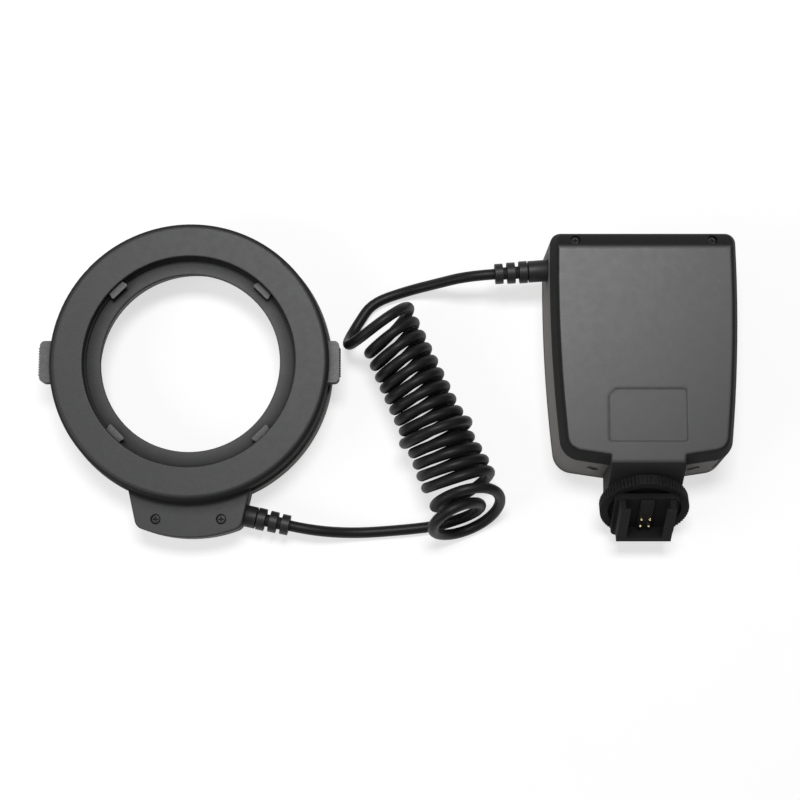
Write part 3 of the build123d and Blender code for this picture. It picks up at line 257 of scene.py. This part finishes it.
finish = {
    # Walls painted a little lighter and warmer than faces that look up: painted light.
    "housing_grey": moulded("moulded_grey", grey(0.13, 0.04), grey(0.22, 0.03), 0.46, painted_wall_shading=grey(0.15, 0.06)),
    # Walls painted near black, darker than faces that look up: painted shade.
    "housing_black": moulded(
        "moulded_black", grey(0.018, -0.03), grey(0.05), 0.50, round_edge=0.8, gloss=0.5,
        painted_wall_shading=grey(0.004), wall_rough=0.9,
    ),
    # Walls and the top roll painted near black, darker than the flat: painted shade.
    "lid_black": moulded(
        "moulded_lid", grey(0.018, -0.03), grey(0.03), 0.40, round_edge=1.6, gloss=0.5,
        mottle=0.02, painted_wall_shading=grey(0.003), wall_rough=0.9, upright=(0.972, 0.9995),
    ),
    "clear_window": clear("clear_acrylic", (0.96, 0.97, 0.98, 1.0)),
    "board_white": moulded(
        "white_mask", (0.78, 0.78, 0.75, 1.0), (0.6, 0.6, 0.55, 1.0), 0.35, mottle=0.01, **smooth
    ),
    "board_green": moulded(
        "green_mask", (0.012, 0.11, 0.035, 1.0), (0.25, 0.2, 0.08, 1.0), 0.32, mottle=0.05, **smooth
    ),
    "lamp_lens": moulded(
        "lamp_epoxy", (0.85, 0.78, 0.45, 1.0), (0.9, 0.86, 0.7, 1.0), 0.12, grain=1.2, coat=0.4, **glassy
    ),
    # Walls painted darker than faces that look up: painted shade.
    "button_grey": moulded("button_grey", grey(0.10), grey(0.20), 0.45, painted_wall_shading=grey(0.06)),
    "latch_grey": moulded("latch_grey", grey(0.085), grey(0.16), 0.42, grain=0.5, depth=0.01),
    "spring_steel": metal("spring_wire", (0.56, 0.56, 0.57, 1.0), 0.28),
    "screw_black": moulded("black_oxide", grey(0.010), grey(0.10), 0.30, grain=0.25, depth=0.008),
    "washer_steel": metal("rolled_steel", (0.52, 0.53, 0.54, 1.0)),
    "relief_rubber": moulded("relief_rubber", grey(0.012), grey(0.03), 0.48, **rubbery),
    "cord_rubber": moulded("cord_rubber", grey(0.008), grey(0.02), 0.46, grain=0.3, depth=0.01, gloss=0.25),
    "display_green": moulded(
        "display_glass", (0.10, 0.13, 0.105, 1.0), (0.15, 0.17, 0.15, 1.0), 0.16,
        grain=1.0, coat=0.5, **glassy,
    ),
    "switch_black": moulded("switch_black", grey(0.010), grey(0.03), 0.45),
    "key_rubber": moulded("key_rubber", grey(0.030), grey(0.05), 0.62, **rubbery),
    "tray_black": moulded("tray_black", grey(0.010), grey(0.03)),
    "cell_metal": moulded(
        "cell_sleeve", (0.045, 0.055, 0.075, 1.0), grey(0.3), 0.28,
        grain=1.0, depth=0.004, mottle=0.02, coat=0.4,
    ),
    "contact_metal": metal("nickel_plate", (0.66, 0.63, 0.56, 1.0), 0.24),
    "foot_black": moulded(
        "foot_black", grey(0.004), grey(0.03), 0.30, grain=0.3, depth=0.008, **lock_wall_shade
    ),
    "wheel_black": moulded(
        "wheel_black", grey(0.004), grey(0.04), 0.32, grain=0.3, depth=0.010, **lock_wall_shade
    ),
    "pin_gold": metal("gold_plate", (0.92, 0.76, 0.46, 1.0), 0.18),
}
for row in frame["record"]["subparts"]:
    for place in nodes[row["node"]].material_slots:
        place.material = finish[row["material_slot"]]
# Walls painted much lighter and warmer than faces that look up: painted light.
shell_finish = moulded(
    "moulded_shell", grey(0.05, 0.02), grey(0.18, 0.03), 0.46, round_edge=0.5, painted_wall_shading=grey(0.15, 0.06)
)
for place in nodes["front_shell"].material_slots:
    place.material = shell_finish


# Cord, in mm and turns of its coil

cord_radius = 2.35
cord_rest = 2.65
coil_start = Vector((-4.45, 32.6, 0))
coil_heading = -65.4
coil_turns = 16
first_turn = -0.25
turn_points = 16
coil_radius = 12.2
coil_pitch = 5.62
coil_lead = 1.25
coil_lean = 42.0
hook_back = 5.0
hook_fade = 0.2

# A step is an amount, the turn it starts at and the turns it takes
lean_steps = ((-22.0, 0, 13), (-8.0, 15.2, 0.5))
radius_steps = ((1.6, 9.5, 3.5), (-2.2, 15, 0.5))
along_steps = ((1.2, 0, 3), (6.8, 13.4, 1.3), (-9.4, 15, 0.7))
tilt_steps = ((0.40, 13.1, 1.5), (-0.12, 14.9, 0.8))
side_steps = ((-7.0, 14.3, 1.1),)

# A swell is an amount, its middle turn and its width in turns
radius_swells = ((2.0, -0.1, 0.5), (2.6, 9.2, 0.5))
side_swells = ((-10.0, -0.25, 0.25),)


def heading(degrees):
    return Vector((math.cos(math.radians(degrees)), math.sin(math.radians(degrees)), 0))


def eased(turn, steps):
    """Sum of amounts that rise smoothly, each from its start over its span."""
    total = 0.0
    for amount, start, span in steps:
        share = min(max((turn - start) / span, 0.0), 1.0)
        total += amount * share * share * (3 - 2 * share)
    return total


def swollen(turn, swells):
    return sum(amount * math.exp(-(((turn - middle) / width) ** 2)) for amount, middle, width in swells)


def coil_point(turn):
    """Control point of the coiled cord after a number of turns from the first top."""
    along_way = heading(coil_heading)
    side_way = heading(coil_heading + 90)
    across = heading(coil_lean + eased(turn, lean_steps))
    radius = coil_radius + swollen(turn, radius_swells) + eased(turn, radius_steps)
    along = coil_pitch * (turn + coil_lead) + eased(turn, along_steps)
    along -= hook_back * math.exp(-(turn - first_turn) / hook_fade)
    side = eased(turn, side_steps) + swollen(turn, side_swells)
    hub = coil_start + along_way * along + side_way * side + Vector((0, 0, cord_rest + radius))
    up = Vector((0, 0, 1)) - along_way * eased(turn, tilt_steps)
    angle = 2 * math.pi * turn
    reach = radius / math.cos(math.pi / turn_points)
    return hub + up * (reach * math.sin(angle)) - across * (reach * math.cos(angle))


curl = [coil_point(first_turn + step / turn_points) for step in range(coil_turns * turn_points + 1)]
curl_in = Vector((-0.54, -0.84, 0)).normalized()
curl_out = Vector((-0.95, -0.30, 0)).normalized()
ring_exit = Vector((-42.781, -61.715, 9.5))
unit_exit = Vector((46.311, 46.698, 19.5))
route = [ring_exit, ring_exit + heading(-12.8) * 10]
route += [Vector((-14.7, -64.8, cord_rest)), Vector((5.3, -63.4, cord_rest)), curl[-1] + curl_out * 9]
route += list(reversed(curl)) + [curl[0] - curl_in * 11]
route += [Vector((7.8, 42.4, cord_rest)), Vector((21.6, 44.5, 10.0))]
route += [unit_exit + heading(184) * 12, unit_exit]

line = bpy.data.curves.new("cord", "CURVE")
line.dimensions = "3D"
line.bevel_depth = cord_radius * mm
line.bevel_resolution = 5
line.resolution_u = 5
line.use_fill_caps = True
spline = line.splines.new("NURBS")
spline.points.add(len(route) - 1)
for point, place in zip(spline.points, route):
    point.co = (*(place * mm), 1)
spline.order_u = 3
spline.use_endpoint_u = True
line.materials.append(finish["cord_rubber"])
cord = bpy.data.objects.new("cord", line)
scene.collection.objects.link(cord)
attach(cord, "flash")
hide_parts("ring_cord", "coiled_cord", "unit_cord")


# Mesh helpers, in mm

def turned(x, y, angle):
    return (x * math.cos(angle) - y * math.sin(angle), x * math.sin(angle) + y * math.cos(angle))


def circle(radius, steps):
    return [turned(radius, 0, step * math.tau / steps) for step in range(steps)]


def join_rows(mesh, upper, lower):
    """Faces between two closed rows of corners. A row may repeat one corner, as at a tip."""
    for step in range(len(upper)):
        after = (step + 1) % len(upper)
        corners = dict.fromkeys((upper[step], lower[step], lower[after], upper[after]))
        mesh.faces.new(list(corners))


def built(mesh, name):
    """Closes an edited mesh, faces outward, and puts it in the scene."""
    bmesh.ops.recalc_face_normals(mesh, faces=mesh.faces)
    closed = bpy.data.meshes.new(name)
    mesh.to_mesh(closed)
    mesh.free()
    made = bpy.data.objects.new(name, closed)
    scene.collection.objects.link(made)
    return made


# Screws, in mm

head_radius = 1.95
head_height = 1.2
crown_height = 0.38
shank_radius = 1.45
tip_radius = 1.0
tip_bevel = 0.5
screw_sides = 32
slot_half = 0.26
slot_reach = 1.15
slot_depth = 0.9
slot_taper = 0.55


def cross_cutter():
    """Tapered cross that sinks into a screw head."""
    arm = ((slot_half, slot_half), (slot_half, slot_reach), (-slot_half, slot_reach))
    corners = [turned(x, y, quarter * math.pi / 2) for quarter in range(4) for x, y in arm]
    mesh = bmesh.new()
    top = [mesh.verts.new((x, y, 0.2)) for x, y in corners]
    low = [mesh.verts.new((x * slot_taper, y * slot_taper, -slot_depth)) for x, y in corners]
    mesh.faces.new(top)
    mesh.faces.new(list(reversed(low)))
    join_rows(mesh, top, low)
    return built(mesh, "cross")


def screw(name, place, way, length):
    """Cross-head screw: place is its head's top, way points into the housing."""
    profile = (
        (0, 0), (head_radius - 0.45, 0), (head_radius - 0.15, 0.12), (head_radius, crown_height),
        (head_radius, head_height), (shank_radius, head_height), (shank_radius, length - tip_bevel),
        (tip_radius, length), (0, length),
    )
    mesh = bmesh.new()
    rows = []
    for radius, down in profile:
        if radius == 0:
            rows.append([mesh.verts.new((0, 0, -down))] * screw_sides)
        else:
            rows.append([mesh.verts.new((x, y, -down)) for x, y in circle(radius, screw_sides)])
    for upper, lower in zip(rows, rows[1:]):
        join_rows(mesh, upper, lower)
    made = built(mesh, name)
    cutter = cross_cutter()
    cut = made.modifiers.new("cross", "BOOLEAN")
    cut.object = cutter
    cut.solver = "EXACT"
    bpy.context.view_layer.update()
    finished = bpy.data.meshes.new_from_object(made.evaluated_get(bpy.context.evaluated_depsgraph_get()))
    made.modifiers.clear()
    made.data = finished
    bpy.data.objects.remove(cutter)
    turn = Vector(way).to_track_quat("-Z", "Y").to_matrix().to_4x4()
    made.data.transform(Matrix.Translation(Vector(place) * mm) @ turn @ Matrix.Scale(mm, 4))
    made.data.materials.clear()
    made.data.materials.append(finish["screw_black"])
    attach(made, "flash")
    return made


ring_x, ring_y = -85.3, 7.802
unit_x, unit_y = 109.2, -39.698
downward, upward_y = (0, 0, -1), (0, 1, 0)
for side, sign in (("left", -1), ("right", 1)):
    piece = screw(f"lug_screw_{side}", (ring_x + sign * 14.0, ring_y - 67.3, 17.7), downward, 8.7)
    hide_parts("ring_screws")
for side, sign in (("left", -1), ("right", 1)):
    piece = screw(f"shoulder_screw_{side}", (unit_x + sign * 29.2, unit_y + 98.2, 32.2), downward, 5.6)
    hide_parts("unit_screws")
for side, sign in (("left", -1), ("right", 1)):
    piece = screw(f"low_screw_{side}", (unit_x + sign * 20.8, unit_y + 2.167, 17.0), upward_y, 6.5)
    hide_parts("unit_screws")


# Printed marks, in mm

print_half = 0.03
print_steps = 24
key_face = 0.6
key_upper_y, key_middle_y, key_lower_y = 43.0, 36.0, 29.0
key_spacing = 18.0
switch_y = 19.0
arrow = ((-1.3, -0.8), (1.3, -0.8), (0.0, 1.3))
arrow_left = [(-y, x) for x, y in arrow]
arrow_right = [(y, -x) for x, y in arrow]
sun_reach = 1.75
sun_radius = 0.7


def bar(length, width, x=0.0, y=0.0, turn=0.0):
    """Outline of a bar by its length, width, middle and turn."""
    corners = ((-length, -width), (length, -width), (length, width), (-length, width))
    halves = [turned(*corner, turn) for corner in corners]
    return [(x + across / 2, y + along / 2) for across, along in halves]


def sun_mark():
    rays = []
    for step in range(8):
        angle = step * math.tau / 8
        rays.append(bar(0.9, 0.3, *turned(sun_reach, 0, angle), angle))
    return [circle(sun_radius, print_steps)] + rays


def printed(name, outlines, rings, place, body):
    """Thin white print on a face that looks down: filled outlines, and rings as pairs of radii."""
    mesh = bmesh.new()
    for outline in outlines:
        low, top = [[mesh.verts.new((x, y, z)) for x, y in outline] for z in (-print_half, print_half)]
        mesh.faces.new(list(reversed(low)))
        mesh.faces.new(top)
        join_rows(mesh, top, low)
    for wide, narrow in rings:
        section = ((wide, -print_half), (wide, print_half), (narrow, print_half), (narrow, -print_half))
        rows = [[mesh.verts.new((x, y, z)) for x, y in circle(radius, print_steps)] for radius, z in section]
        for row, beside in zip(rows, rows[1:] + rows[:1]):
            join_rows(mesh, row, beside)
    made = built(mesh, name)
    made.data.transform(Matrix.Translation(Vector(place) * mm) @ Matrix.Scale(mm, 4))
    made.data.materials.append(finish["board_white"])
    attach(made, body)


key_marks = (
    ("key_up", 0, key_upper_y, [arrow], []),
    ("key_left", -key_spacing, key_middle_y, [arrow_left], []),
    ("key_right", key_spacing, key_middle_y, [arrow_right], []),
    ("key_set", 0, key_lower_y, [], [(1.4, 1.0)]),
    ("key_lamp", -30, key_lower_y - 1, sun_mark(), []),
)
for key, x, y, outlines, rings in key_marks:
    printed(f"{key}_mark", outlines, rings, (unit_x + x, unit_y + y, key_face), f"{key}_body")
printed("switch_on_mark", [bar(0.4, 2.2)], [], (unit_x + 20.2, unit_y + switch_y, 0.0), "flash")
printed("switch_off_mark", [], [(1.15, 0.8)], (unit_x + 3.8, unit_y + switch_y, 0.0), "flash")


# Floor, in metres

floor_half = 6.0
glow_share = 0.5
glow_strength = 1.3

floor_mesh = bpy.data.meshes.new("floor")
floor_corners = [(x * floor_half, y * floor_half, 0.0) for x, y in ((-1, -1), (1, -1), (1, 1), (-1, 1))]
floor_mesh.from_pydata(floor_corners, [], [(0, 1, 2, 3)])
floor = bpy.data.objects.new("floor", floor_mesh)
scene.collection.objects.link(floor)
paper, tree, shader = new_material("paper")
shader.inputs["Roughness"].default_value = 0.9
shader.inputs["Specular IOR Level"].default_value = 0.2
where = add_node(tree, "ShaderNodeTexCoord").outputs["Object"]
pale = mix_colour(tree, noise(tree, where, 30.0), grey(0.80), grey(0.83))
tree.links.new(pale, shader.inputs["Base Color"])
rays = add_node(tree, "ShaderNodeLightPath").outputs
seen = math_node(tree, "MAXIMUM", rays["Is Camera Ray"], rays["Is Glossy Ray"])
seen = math_node(tree, "MAXIMUM", seen, rays["Is Transmission Ray"])
glow = add_node(tree, "ShaderNodeEmission", {"Color": (1, 1, 1, 1), "Strength": glow_strength})
blend = add_node(tree, "ShaderNodeMixShader")
tree.links.new(math_node(tree, "MULTIPLY", seen, glow_share), blend.inputs[0])
tree.links.new(shader.outputs[0], blend.inputs[1])
tree.links.new(glow.outputs[0], blend.inputs[2])
tree.links.new(blend.outputs[0], tree.nodes["Material Output"].inputs["Surface"])
floor_mesh.materials.append(paper)


# World and lamps, in metres and watts

room_light = 0.14
room_gloss = 0.12
room_seen = 0.95

world = bpy.data.worlds.new("studio")
scene.world = world
world.use_nodes = True
sky = world.node_tree
background = sky.nodes["Background"]
background.inputs["Color"].default_value = (1, 1, 1, 1)
rays = add_node(sky, "ShaderNodeLightPath").outputs
direct = math_node(sky, "MAXIMUM", rays["Is Camera Ray"], rays["Is Transmission Ray"])
strength = math_node(sky, "MULTIPLY_ADD", rays["Is Glossy Ray"], room_gloss, room_light)
strength = math_node(sky, "MAXIMUM", strength, math_node(sky, "MULTIPLY", direct, room_seen))
sky.links.new(strength, background.inputs["Strength"])


def lamp(name, place, aim, size, power):
    made = bpy.data.objects.new(name, bpy.data.lights.new(name, "AREA"))
    made.data.shape = "RECTANGLE"
    made.data.size, made.data.size_y = size
    made.data.energy = power
    made.location = place
    made.rotation_euler = (Vector(aim) - Vector(place)).to_track_quat("-Z", "Y").to_euler()
    scene.collection.objects.link(made)


lamp("overhead", place=(0.02, 0.46, 1.5), aim=(0.03, 0.0, 0.0), size=(0.60, 0.34), power=17.0)
lamp("side", place=(-1.3, -0.5, 0.9), aim=(0.0, 0.0, 0.0), size=(0.8, 0.8), power=7.0)

scene.view_settings.view_transform = "Standard"
